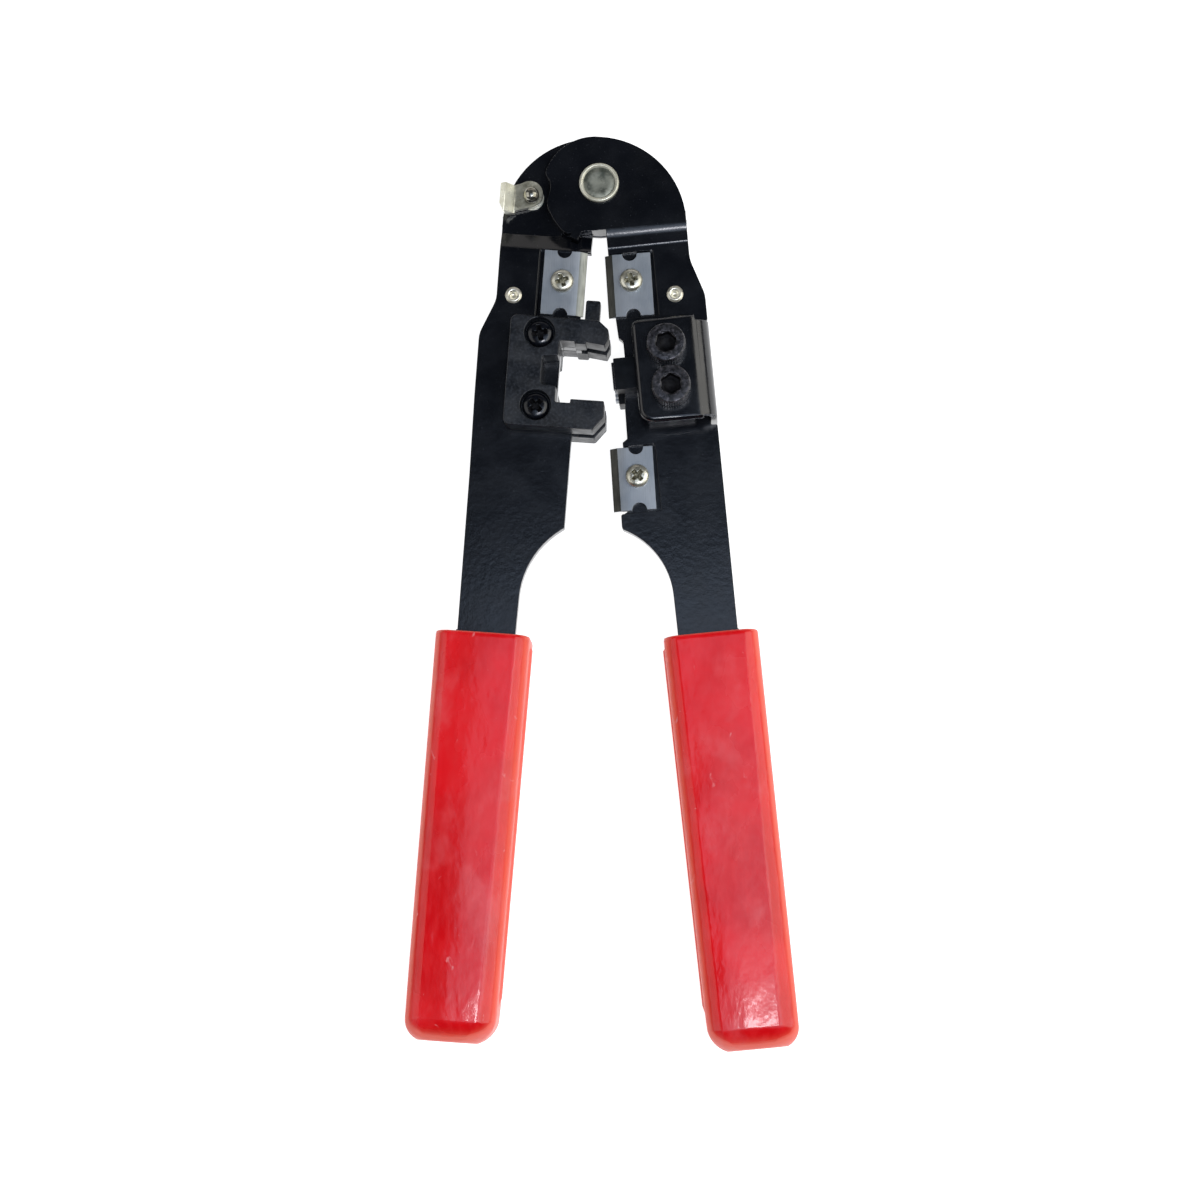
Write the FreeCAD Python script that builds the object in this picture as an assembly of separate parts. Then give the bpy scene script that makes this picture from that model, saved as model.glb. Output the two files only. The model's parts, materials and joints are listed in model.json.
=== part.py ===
import FreeCAD, Part
import math
import os

V = FreeCAD.Vector

# Crimping tool for eight-contact modular plugs, lying on its back with the handles sprung open.
# Millimetres.  +Z comes out of the front face and +Y runs from the handles towards the head.
# Each arm is drawn upright with the main pivot at (0, 0), then leaned about the pivot into its
# open position.  Z = 0 is the middle plane of the two working plates.

# ---- driving dimensions ----
LEFT_LEAN = -4.2            # degrees, rest position of the left arm's drawing
RIGHT_LEAN = 5.3            # degrees, rest position of the right arm's drawing
CLOSING_TRAVEL = 7.8        # degrees the right arm turns from open to closed, for the stop recess's length

PLATE = 3.0                 # stamped plate thickness
HALF = PLATE / 2
HEAD_GAP = 0.3              # between the two overlapping heads
JOGGLE = HALF + HEAD_GAP / 2
HEAD_FRONT = HEAD_GAP / 2 + PLATE
BEND_INSIDE = 1.2           # inside radius of the pressed bends below the heads
BLANK = 20.0                # half height of the outlines that are cut to the sheets' shapes

DIE_HALF = 8.2              # die faces stand at +-this
DIE_SLOT = 1.8              # half of the slot that the other plate passes through
LEG_IN = 8.5                # inner faces of the punch bracket's legs
SHEET = 1.5                 # bracket sheet
LEG_OUT = LEG_IN + SHEET
LEG_ROUNDING = 1.0          # rolled outer edges of the bracket's front leg

NEST_TOP, NEST_BOTTOM = -37.0, -49.15
NEST_BACK = -5.7
PUNCH_Y = (NEST_TOP + NEST_BOTTOM) / 2 - 0.25

BLADE = 1.2                 # blade thickness
POCKET_Z = HALF - BLADE     # floor of the blade pockets
BEVEL = 1.6                 # width of the ground bevel

GRIP_TOP_LEFT = (-17.4, -100.6)
GRIP_TOP_RIGHT = (14.5, -101.1)
GRIP_LENGTHS = (87.0, 88.4)     # left, right
GRIP_DRIFTS = (-0.5, 0.8)   # how far each closed end stands outwards from the line of its arm
GRIP_HALF = 8.5
GRIP_WIDTH = (20.2, 19.2)   # at the top and at the far end
TANG_LENGTH = 76.0

LUG_R = (10.6, 13.4)        # stop lug's reach from the pivot
LUG_ANGLES = (-124.0, -115.6)
LUG_FOOT = -1.75
RECESS_FLOOR = -2.05        # the stop recess leaves a thin web behind it

PIVOT_R = 3.0
RUN = 0.05                  # radial running clearance on pins
LATCH_PIN = (-14.6, -3.5)
LATCH_EYE = (-15.1, -2.9)
LATCH_EYE_R = 2.9
LATCH_SHEET = 1.5
LEFT_BLADE_SCREW = (-6.5, -22.0)
RIGHT_BLADE_SCREWS = [(4.9, -22.0), (2.2, -65.1)]
BLADE_SCREW_R = 1.5
RIGHT_STRIP_TURN = -1.6     # degrees the right stripping blade sits askew in its pocket
SMALL_PIN_R = 1.5           # latch pin and spring pins
SPRING_PIN_LEFT = (-16.9, -25.7)
SPRING_PIN_RIGHT = (14.1, -25.9)
DIE_SCREWS = [(-10.1, -35.0), (-9.8, -50.9)]
PUNCH_SCREWS = [(11.1, -39.2), (11.3, -48.3)]
PUNCH_SCREW_R = 2.5

SPRING_R = 9.5              # mean radius of the return spring's coil
SPRING_WIRE = 0.6           # wire radius
SPRING_Z = (-4.2, -6.6)     # first and last turn


# ---- small tools ----
def vec(p, z=0.0):
    return V(p[0], p[1], z)


def rounded_face(points, z=0.0):
    """A flat face with its corners rounded: points are (x, y) or (x, y, radius)."""
    n = len(points)
    edges = []
    cursor = []
    for i, p in enumerate(points):
        here = vec(p, z)
        radius = p[2] if len(p) > 2 else 0.0
        if radius <= 0:
            cursor.append((here, None, here))
            continue
        back = (vec(points[i - 1], z) - here).normalize()
        ahead = (vec(points[(i + 1) % n], z) - here).normalize()
        half_angle = back.getAngle(ahead) / 2
        reach = radius / math.tan(half_angle)
        bisector = (back + ahead).normalize()
        middle = here + bisector * (radius / math.sin(half_angle) - radius)
        cursor.append((here + back * reach, middle, here + ahead * reach))
    for i, (start, middle, end) in enumerate(cursor):
        if middle is not None:
            edges.append(Part.Arc(start, middle, end).toShape())
        following = cursor[(i + 1) % n][0]
        if (following - end).Length > 1e-6:
            edges.append(Part.LineSegment(end, following).toShape())
    return Part.Face(Part.Wire(edges))


def prism(points, z0, z1):
    return rounded_face(points, z0).extrude(V(0, 0, z1 - z0))


def box(x0, x1, y0, y1, z0, z1):
    return Part.makeBox(x1 - x0, y1 - y0, z1 - z0, V(x0, y0, z0))


def disc(p, r, z0, z1):
    return Part.makeCylinder(r, z1 - z0, vec(p, z0))


def curved_face(start, steps):
    """A flat face: steps are (x, y) for a line or (mx, my, x, y) for an arc through (mx, my)."""
    edges = []
    here = vec(start)
    for step in steps:
        there = vec(step[-2:])
        if len(step) == 4:
            edges.append(Part.Arc(here, vec(step[:2]), there).toShape())
        else:
            edges.append(Part.LineSegment(here, there).toShape())
        here = there
    edges.append(Part.LineSegment(here, vec(start)).toShape())
    return Part.Face(Part.Wire(edges))


def sector(r0, r1, a0, a1, z0, z1):
    """Part of a ring round the main pivot between two angles in degrees."""
    def at(r, a):
        return (r * math.cos(math.radians(a)), r * math.sin(math.radians(a)))
    mid = (a0 + a1) / 2
    face = curved_face(at(r0, a0), [at(r1, a0), at(r1, mid) + at(r1, a1), at(r0, a1)])
    ring = face.extrude(V(0, 0, z1 - z0))
    ring.translate(V(0, 0, z0))
    return ring.cut(disc((0, 0), r0, z0, z1))


def turned(profile, p):
    """A solid of revolution about a vertical axis at p: profile is (radius, z) points."""
    wire = Part.makePolygon([V(r, 0, z) for r, z in profile + profile[:1]])
    body = Part.Face(wire).revolve(V(0, 0, 0), V(0, 0, 1), 360)
    body.translate(vec(p))
    return body


def cross_recess(p, z_top, arm, width, depth):
    """The cross-shaped cutter of a driver recess."""
    bar = box(-arm, arm, -width / 2, width / 2, z_top - depth, z_top + 1)
    other = bar.copy()
    other.rotate(V(0, 0, 0), V(0, 0, 1), 90)
    cross = bar.fuse(other)
    cross.rotate(V(0, 0, 0), V(0, 0, 1), 20)
    cross.translate(vec(p))
    return cross


def pan_screw(p, z_seat, head_r, head_h, shank_r, z_tip, sink=0.0):
    top = z_seat + head_h
    profile = [
        (0, z_tip), (shank_r, z_tip), (shank_r, z_seat), (head_r, z_seat),
        (head_r, z_seat + head_h * 0.45), (head_r * 0.78, z_seat + head_h * 0.88),
        (head_r * 0.45, top), (0, top),
    ]
    return turned(profile, p).cut(cross_recess(p, top - sink, head_r * 0.55, head_r * 0.26, head_h * 0.7))


def tall(face):
    """A face at Z = 0 raised into a blank that reaches past both sides of the tool."""
    blank = face.extrude(V(0, 0, 2 * BLANK))
    blank.translate(V(0, 0, -BLANK))
    return blank


def tidy(shape):
    return shape.removeSplitter()


# ---- the bent plates ----
def bent_sheet(direction, y_start, y_end):
    """A wide sheet whose top part is offset along Z: direction is +1 forwards, -1 backwards."""
    shift = direction * JOGGLE
    outside = BEND_INSIDE + PLATE
    rear_start, front_start = (BEND_INSIDE, outside) if direction > 0 else (outside, BEND_INSIDE)
    profile = [
        (40, shift - HALF), (y_start, shift - HALF, rear_start), (y_end, -HALF, front_start), (-220, -HALF),
        (-220, HALF), (y_end, HALF, rear_start), (y_start, shift + HALF, front_start), (40, shift + HALF),
    ]
    face = rounded_face(profile)
    face.rotate(V(0, 0, 0), V(1, 1, 1), 120)
    face.translate(V(-60, 0, 0))
    return face.extrude(V(120, 0, 0))


def tang(top, side):
    """The narrow end of a plate inside its grip."""
    x, y = top
    half = 6.2
    lean = 0.25 * side
    return [
        (x - half, y + 1), (x - half + lean, y - TANG_LENGTH, 2), (x + half + lean, y - TANG_LENGTH, 2),
        (x + half, y + 1),
    ]


def blade_pocket(x0, x1, y0, y1):
    return prism([(x0, y0, 0.4), (x1, y0), (x1, y1), (x0, y1, 0.4)], POCKET_Z, HALF + 1)


def left_arm_plate():
    arm = [
        (-20.7, -8.0), (-20.6, -26.9, 6), (-23.75, -34.6, 6), (-23.7, -48.0), (-23.4, -66.0), (-23.3, -101.6),
        (-10.8, -101.6), (-10.4, -82.2, 19.2), (-2.0, -76.1, 0.5), (-1.95, -57.0),
        (-1.0, -31.5), (-2.0, -30.6, 0.3), (-2.0, -15.2, 0.3), (-0.75, -15.2, 0.3), (-0.75, -8.0),
    ]
    head = curved_face((-20.7, -8.2), [(-16.1, 3.8, -5.1, 10.5), (0.0, 10.1), (0.0, -10.0), (-20.7, -10.0)])
    parts = [tall(head), disc((0, 0), 10.2, -BLANK, BLANK), prism(tang(GRIP_TOP_LEFT, 0), -BLANK, BLANK)]
    blank = tidy(prism(arm, -BLANK, BLANK).fuse(parts))
    plate = blank.common(bent_sheet(-1, -11.6, -15.2))
    cuts = [nest_cut(-HALF - 1, HALF + 1), disc((0, 0), PIVOT_R, -5, 5)]
    cuts.append(blade_pocket(-11.9, 0.5, -30.2, -15.0))
    cuts.append(disc(LEFT_BLADE_SCREW, BLADE_SCREW_R, -5, 5))
    cuts += [disc(p, SMALL_PIN_R, -5, 5) for p in (SPRING_PIN_LEFT, LATCH_PIN)]
    cuts.append(stop_recess())
    cuts += [disc(p, 2.05, -5, 5) for p in DIE_SCREWS]
    return tidy(plate.cut(cuts))


def stop_recess():
    """Curved blind recess round the pivot that the right head's stop lug moves in."""
    open_end = LUG_ANGLES[1] + RIGHT_LEAN - LEFT_LEAN + 0.3
    closed_end = LUG_ANGLES[0] + RIGHT_LEAN - LEFT_LEAN - CLOSING_TRAVEL - 1.7
    return sector(LUG_R[0] - 0.3, LUG_R[1] + 0.3, closed_end, open_end, RECESS_FLOOR, 6)


def stop_lug():
    """Lug bent back off the right head: its side meets the recess's end when the tool is open."""
    return sector(*LUG_R, *LUG_ANGLES, LUG_FOOT, HEAD_FRONT)


def right_arm_plate():
    arm = [
        (0.5, -8.0), (0.45, -15.6, 0.3), (0.75, -30.0), (0.95, -34.2, 0.4), (1.9, -35.2, 0.4),
        (1.9, -38.6), (0.9, -50.4, 0.3), (0.75, -56.7, 0.3), (-0.3, -57.4, 0.4), (-0.7, -72.4, 0.3),
        (-2.1, -73.2, 0.5), (-2.2, -76.2, 1.0), (7.3, -81.5, 17.2), (7.6, -102.1), (20.45, -102.1),
        (20.5, -55.4, 0.5), (19.0, -55.4, 0.5), (19.0, -32.4, 0.5), (20.6, -32.4, 0.5),
        (20.6, -26.5, 7), (18.05, -18.5, 8), (18.1, -8.0),
    ]
    head = curved_face(
        (18.1, -10.2),
        [
            (14.66, 1.88, 1.2, 10.45), (-7.3, 8.8, -11.4, 3.7), (-11.3, 2.9), (-10.7, 1.7),
            (-10.75, -0.2, -11.1, -1.2), (-11.75, -2.9), (-11.7, -4.2), (-10.6, -7.1),
            (-9.1, -9.6), (-8.0, -10.4), (0.6, -10.4),
        ],
    )
    parts = [tall(head), prism(tang(GRIP_TOP_RIGHT, 1), -BLANK, BLANK)]
    plate = tidy(prism(arm, -BLANK, BLANK).fuse(parts)).common(bent_sheet(1, -11.5, -14.3))
    plate = plate.fuse(stop_lug())
    cuts = [disc((0, 0), PIVOT_R + RUN, -5, 5)]
    cuts.append(blade_pocket(-1.0, 10.2, -30.2, -15.6))
    cuts.append(blade_pocket(-4.0, 6.6, -73.0, -58.3))
    cuts += [disc(p, BLADE_SCREW_R, -5, 5) for p in RIGHT_BLADE_SCREWS]
    cuts.append(disc(SPRING_PIN_RIGHT, SMALL_PIN_R, -5, 5))
    cuts += [disc(p, PUNCH_SCREW_R, -5, 5) for p in PUNCH_SCREWS]
    return tidy(plate.cut(cuts))


# ---- blades ----
def blade(x0, x1, y0, y1, screw, edge_on_right):
    """Flat blade with a half-round notch at each end and one ground edge."""
    body = box(x0, x1, y0, y1, POCKET_Z, HALF)
    edge, inner = (x1, x1 - BEVEL) if edge_on_right else (x0, x0 + BEVEL)
    lip = POCKET_Z + 0.15
    wedge = Part.makePolygon([
        V(inner, y0 - 1, HALF), V(edge, y0 - 1, lip), V(edge, y0 - 1, HALF + 1),
        V(inner, y0 - 1, HALF + 1), V(inner, y0 - 1, HALF),
    ])
    body = body.cut(Part.Face(wedge).extrude(V(0, y1 - y0 + 2, 0)))
    holes = [disc((screw[0], y), 1.6, -2, 4) for y in (y0, y1)]
    holes.append(disc(screw, BLADE_SCREW_R, -2, 4))
    return body.cut(holes)


def blade_screw(p):
    return pan_screw(p, HALF, 2.5, 1.7, BLADE_SCREW_R, -HALF)


# ---- die ----
def nest_cut(z0, z1):
    """The plug's opening between the jaws, wider along the back wall."""
    throat = box(-2.4, 30, NEST_BOTTOM, NEST_TOP, z0, z1)
    back = prism([(NEST_BACK, -50.0, 0.4), (-2.4, -50.0), (-2.4, -36.5), (NEST_BACK, -36.5, 0.4)], z0, z1)
    return throat.fuse(back)


def latch_tab_channel(depth, z0, z1):
    """Room for the plug's springy tab in the back wall."""
    x = NEST_BACK - depth
    return prism([(x, -46.2, 0.5), (NEST_BACK + 1, -46.6), (NEST_BACK + 1, -39.7), (x, -40.1, 0.5)], z0, z1)


def die_half(front):
    outline = [
        (-16.5, -31.3, 1.5), (2.4, -31.6, 0.8), (4.7, -33.5, 0.8), (4.75, -35.5, 0.5), (4.1, NEST_TOP, 0.3),
        (0.0, NEST_TOP + 0.5), (0.0, NEST_BOTTOM), (4.85, NEST_BOTTOM, 0.3), (5.05, -52.6, 0.6),
        (2.8, -55.5, 0.6), (-16.5, -55.5, 1.5),
    ]
    z0, z1 = (HALF, DIE_HALF) if front else (-DIE_HALF, -HALF)
    half = prism(outline, z0, z1)
    slot_z = (HALF - 1, DIE_SLOT) if front else (-DIE_SLOT, -HALF + 1)
    cuts = [nest_cut(z0 - 1, z1 + 1), box(-0.8, 8, -60, -30, *slot_z)]
    cuts.append(latch_tab_channel(3.4 if front else 1.0, z0 - 1, z1 + 1))
    for p in DIE_SCREWS:
        cuts.append(disc(p, 2.05, z0 - 1, z1 + 1))
        cuts.append(disc(p, 3.3, DIE_HALF - 2.2, z1 + 1) if front else hexagon(p, 3.55, z0 - 1, z0 + 3.0))
    half = half.cut(cuts)
    if not front:
        stop = prism([(-1.2, -32.0), (2.0, -32.0), (2.0, -25.0, 0.5), (-1.2, -25.0, 0.5)], -5.2, -DIE_SLOT)
        half = half.fuse(stop)
    return tidy(half)


def hexagon(p, across_half, z0, z1):
    r = across_half / math.cos(math.radians(30))
    corners = [
        (p[0] + r * math.cos(math.radians(60 * k)), p[1] + r * math.sin(math.radians(60 * k)))
        for k in range(6)
    ]
    return prism(corners, z0, z1)


def die_screws():
    seat = DIE_HALF - 2.2
    return [pan_screw(p, seat, 2.9, 1.9, 2.0, -DIE_HALF + 0.4) for p in DIE_SCREWS]


def die_nuts():
    z0 = -DIE_HALF + 0.2
    return [hexagon(p, 3.5, z0, -DIE_HALF + 3.0).cut(disc(p, 2.0, -20, 20)) for p in DIE_SCREWS]


# ---- punch ----
def punch_bracket():
    """U-shaped sheet folded round the right plate's outer edge."""
    outer_x, bend = 20.6, 4.5
    inner = bend - SHEET
    web = outer_x - SHEET
    section_outer = [(4.0, -LEG_OUT), (outer_x, -LEG_OUT, bend), (outer_x, LEG_OUT, bend), (4.0, LEG_OUT)]
    section_inner = [(0.0, -LEG_IN), (web, -LEG_IN, inner), (web, LEG_IN, inner), (0.0, LEG_IN)]
    y0, y1 = -55.2, -32.6

    def along_y(section):
        face = rounded_face(section)
        face.rotate(V(0, 0, 0), V(1, 0, 0), 90)
        face.translate(V(0, y1, 0))
        return face.extrude(V(0, y0 - y1, 0))

    shell = along_y(section_outer).cut(along_y(section_inner))
    far_x = 40.0
    rolled = prism([(4.0, y1, 1.6), (far_x, y1), (far_x, y0), (4.0, y0, 3.2)], -20, LEG_OUT)
    front_edges = [
        edge for edge in rolled.Edges
        if abs(edge.BoundBox.ZMin - LEG_OUT) < 0.01 and edge.BoundBox.XMin < far_x - 1
    ]
    rolled = rolled.makeFillet(LEG_ROUNDING, front_edges)
    trimmed = [
        (0.0, y1 + 1), (17.6, y1 + 1), (17.6, y1 - 1.2, 0.4), (far_x, y1 - 1.2), (far_x, y0 + 0.6),
        (17.6, y0 + 0.6), (17.6, y0 - 1), (0.0, y0 - 1),
    ]
    shell = shell.common(rolled).common(prism(trimmed, -20, 20))
    return tidy(shell.cut([disc(p, PUNCH_SCREW_R, -20, 20) for p in PUNCH_SCREWS]))


def punch_block(z0, z1, nose_x, nose_half, nose_z):
    """Block clamped between the plate and a leg, with a nose that enters the nest."""
    body = prism([(5.4, -54.2, 0.5), (16.0, -54.2, 0.5), (16.0, -33.6, 0.5), (5.4, -33.6, 0.5)], z0, z1)
    nose = [
        (nose_x, PUNCH_Y - nose_half, 0.3), (6.0, PUNCH_Y - nose_half), (6.0, PUNCH_Y + nose_half),
        (nose_x, PUNCH_Y + nose_half, 0.3),
    ]
    return body.fuse(prism(nose, *nose_z))


def punch_front_block():
    block = punch_block(HALF, LEG_IN, -0.6, 3.45, (HALF, 6.8))
    seat = box(-2.0, 3.0, PUNCH_Y - 3.0, PUNCH_Y + 3.0, 3.2, 4.8)
    return tidy(block.cut([disc(p, PUNCH_SCREW_R, -20, 20) for p in PUNCH_SCREWS] + [seat]))


def strain_relief_bar():
    return prism(
        [(-1.1, PUNCH_Y - 3.0, 0.2), (3.0, PUNCH_Y - 3.0), (3.0, PUNCH_Y + 3.0), (-1.1, PUNCH_Y + 3.0, 0.2)],
        3.2, 4.8,
    )


def teeth_seats():
    pitch, thick = 1.02, 0.42
    seats = []
    for k in range(8):
        y = PUNCH_Y + (k - 3.5) * pitch
        seats.append(box(-1.0, 4.0, y - thick / 2, y + thick / 2, -6.6, -3.4))
    return seats


def punch_rear_block():
    block = punch_block(-LEG_IN, -HALF, -0.3, 5.0, (-7.8, -HALF))
    return tidy(block.cut([disc(p, PUNCH_SCREW_R, -20, 20) for p in PUNCH_SCREWS] + teeth_seats()))


def punch_screws():
    screws = []
    for p in PUNCH_SCREWS:
        profile = [
            (0, -LEG_OUT + 0.3), (PUNCH_SCREW_R, -LEG_OUT + 0.3), (PUNCH_SCREW_R, LEG_OUT), (4.25, LEG_OUT),
            (4.25, LEG_OUT + 4.6), (3.85, LEG_OUT + 5.0), (0, LEG_OUT + 5.0),
        ]
        socket = hexagon(p, 2.0, LEG_OUT + 2.5, LEG_OUT + 6)
        screws.append(turned(profile, p).cut(socket))
    return screws


# ---- pins, latch and spring ----
def pivot_pin():
    top = HEAD_FRONT + 0.05
    profile = [
        (0, -6.9), (PIVOT_R - 0.4, -6.9), (PIVOT_R, -6.5), (PIVOT_R, -4.6), (2.3, -4.6), (2.3, -3.7),
        (PIVOT_R, -3.7), (PIVOT_R, top), (4.35, top), (4.35, top + 0.75), (4.05, top + 1.05),
        (3.6, top + 1.05), (3.3, top + 0.8), (0, top + 0.7),
    ]
    return turned(profile, (0, 0))


def pivot_clip():
    ring = disc((0, 0), 4.9, -4.5, -3.8).cut(disc((0, 0), 2.3, -5, -3))
    mouth = box(-1.5, 1.5, -6, 0, -5, -3)
    return ring.cut(mouth)


def pivot_washer():
    return disc((0, 0), 5.6, -HEAD_GAP / 2, HEAD_GAP / 2 - 0.05).cut(disc((0, 0), PIVOT_R, -1, 1))


def spring_pin(p):
    """Tubular rivet whose rear end carries a leg of the return spring."""
    profile = [
        (0.55, -8.0), (1.5, -8.0), (1.5, HALF), (1.8, HALF), (1.8, HALF + 0.35), (1.5, HALF + 0.6),
        (0.9, HALF + 0.6), (0.55, HALF + 0.25),
    ]
    return turned(profile, p)


def latch_pin():
    foot = HEAD_GAP / 2 + LATCH_SHEET + 0.1
    profile = [
        (0, -3.1), (1.5, -3.1), (1.5, foot), (1.75, foot), (1.75, foot + 1.8), (1.55, foot + 2.5),
        (1.1, foot + 2.95), (0.6, foot + 3.15), (0, foot + 3.2),
    ]
    return turned(profile, LATCH_PIN)


def latch_washer():
    return disc(LATCH_PIN, 2.6, -HEAD_GAP / 2, HEAD_GAP / 2 - 0.05).cut(disc(LATCH_PIN, 1.5, -1, 1))


def latch_lever():
    """Eccentric eye with a broad short lever and a thumb tab that rises outwards from its end."""
    z0 = HEAD_GAP / 2
    z1 = z0 + LATCH_SHEET
    fold = -18.0
    strip = prism([(fold - 1, -7.1), (-14.7, -5.8), (-16.9, -0.6), (fold - 1, -1.3)], z0, z1)
    section = [
        (fold, z0), (fold - 1.2, z0, 1.0), (fold - 3.4, z0 + 4.5, 0.2), (fold - 2.2, z0 + 5.1, 0.2),
        (fold - 0.4, z1, 0.5), (fold, z1),
    ]
    tab = rounded_face(section)
    tab.rotate(V(0, 0, 0), V(1, 0, 0), 90)
    tab = tab.extrude(V(0, -10, 0))
    plan = [(-22.0, -1.7, 0.5), (fold, -1.2), (fold, -7.3), (-20.3, -7.9, 0.5), (-21.9, -5.0)]
    tab = tab.common(prism(plan, -1, 10))
    eye = disc(LATCH_EYE, LATCH_EYE_R, z0, z1)
    return tidy(eye.fuse([strip, tab]).cut(disc(LATCH_PIN, 1.5 + RUN, -1, 8)))


def tube_between(a, b, r):
    axis = b - a
    return Part.makeCylinder(r, axis.Length, a, axis)


def return_spring():
    """Coil behind the left head.  The left leg presses on its pin.  The right leg is drawn where it
    lies with the tool closed, so that it keeps clear of the right pin over the whole travel."""
    outer, inner = SPRING_R + SPRING_WIRE, SPRING_R - SPRING_WIRE
    z_low, z_high = SPRING_Z[1] - SPRING_WIRE - 0.15, SPRING_Z[0] + SPRING_WIRE + 0.15
    coil = disc((0, 0), outer, z_low, z_high).cut(disc((0, 0), inner, z_low, z_high))
    gap = 1.5 + SPRING_WIRE + 0.02
    left_end = V(SPRING_PIN_LEFT[0] + gap, SPRING_PIN_LEFT[1] - 1.5, SPRING_Z[0])
    left_leg = tube_between(V(-SPRING_R, -1.5, SPRING_Z[0]), left_end, SPRING_WIRE)
    right_leg = tube_between(V(SPRING_R, -1.5, SPRING_Z[1]), V(9.5, -27.0, SPRING_Z[1]), SPRING_WIRE)
    return tidy(coil.fuse([left_leg, right_leg]))


# ---- grips ----
def grip(top, length, drift, plate):
    """Dipped-vinyl sleeve, slightly narrower at its closed end, with the plate's tang inside."""
    x, y = top
    w0, w1 = GRIP_WIDTH[0] / 2, GRIP_WIDTH[1] / 2
    far = x + drift
    front = [(x - w0, y), (far - w1, y - length), (far + w1, y - length), (x + w0, y)]
    sleeve = prism(front, -GRIP_HALF, GRIP_HALF)
    long_edges = []
    end_edges = []
    for edge in sleeve.Edges:
        a, b = (v.Point for v in edge.Vertexes)
        if abs(a.y - b.y) > 50:
            long_edges.append(edge)
    sleeve = sleeve.makeFillet(3.3, long_edges)
    for edge in sleeve.Edges:
        if all(abs(v.Point.y - (y - length)) < 0.01 for v in edge.Vertexes):
            end_edges.append(edge)
    sleeve = sleeve.makeFillet(3.2, end_edges)
    return sleeve.cut(plate)


# ---- placing and writing ----
def leaned(shape, lean):
    moved = shape.copy()
    moved.rotate(V(0, 0, 0), V(0, 0, 1), lean)
    return moved


def build():
    left_plate = left_arm_plate()
    right_plate = right_arm_plate()
    left = {
        "left_arm_plate": left_plate,
        "left_grip": grip(GRIP_TOP_LEFT, GRIP_LENGTHS[0], GRIP_DRIFTS[0], left_plate),
        "die_front_half": die_half(True),
        "die_rear_half": die_half(False),
        "die_screws": Part.makeCompound(die_screws()),
        "die_nuts": Part.makeCompound(die_nuts()),
        "left_strip_blade": blade(-10.8, -1.45, -29.4, -15.1, LEFT_BLADE_SCREW, True),
        "left_blade_screw": blade_screw(LEFT_BLADE_SCREW),
        "left_spring_pin": spring_pin(SPRING_PIN_LEFT),
        "pivot_pin": pivot_pin(),
        "pivot_clip": pivot_clip(),
        "pivot_washer": pivot_washer(),
        "return_spring": return_spring(),
        "latch_pin": latch_pin(),
        "latch_washer": latch_washer(),
        "latch_lever": latch_lever(),
    }
    right = {
        "right_arm_plate": right_plate,
        "right_grip": grip(GRIP_TOP_RIGHT, GRIP_LENGTHS[1], GRIP_DRIFTS[1], right_plate),
        "right_strip_blade": blade(-0.5, 9.4, -29.8, -15.9, RIGHT_BLADE_SCREWS[0], False),
        "wire_cutter_blade": blade(-3.4, 5.8, -72.4, -58.6, RIGHT_BLADE_SCREWS[1], False),
        "right_blade_screws": Part.makeCompound([blade_screw(p) for p in RIGHT_BLADE_SCREWS]),
        "right_spring_pin": spring_pin(SPRING_PIN_RIGHT),
        "punch_bracket": punch_bracket(),
        "punch_front_block": punch_front_block(),
        "punch_rear_block": punch_rear_block(),
        "strain_relief_bar": strain_relief_bar(),
        "contact_teeth": Part.makeCompound(teeth_seats()),
        "punch_screws": Part.makeCompound(punch_screws()),
    }
    askew = right["right_strip_blade"]
    askew.rotate(vec(RIGHT_BLADE_SCREWS[0]), V(0, 0, 1), RIGHT_STRIP_TURN)
    placed = {name: leaned(shape, LEFT_LEAN) for name, shape in left.items()}
    placed.update({name: leaned(shape, RIGHT_LEAN) for name, shape in right.items()})
    return placed


def main():
    placed = build()
    whole = Part.makeCompound(list(placed.values())).optimalBoundingBox(False, False)
    to_origin = V(-whole.Center.x, -whole.Center.y, -whole.ZMin)
    os.makedirs("parts", exist_ok=True)
    for name, shape in placed.items():
        shape.translate(to_origin)
        shape.exportStep("parts/%s.step" % name)
        print("%-20s %d solids, valid %s" % (name, len(shape.Solids), shape.isValid()))
    print("pivot at", round(to_origin.x, 3), round(to_origin.y, 3), round(to_origin.z, 3))
    print("size", round(whole.XLength, 2), round(whole.YLength, 2), round(whole.ZLength, 2))


main()
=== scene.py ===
import json
import math

import bmesh
import bpy
from mathutils import Matrix, Vector, noise

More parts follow.
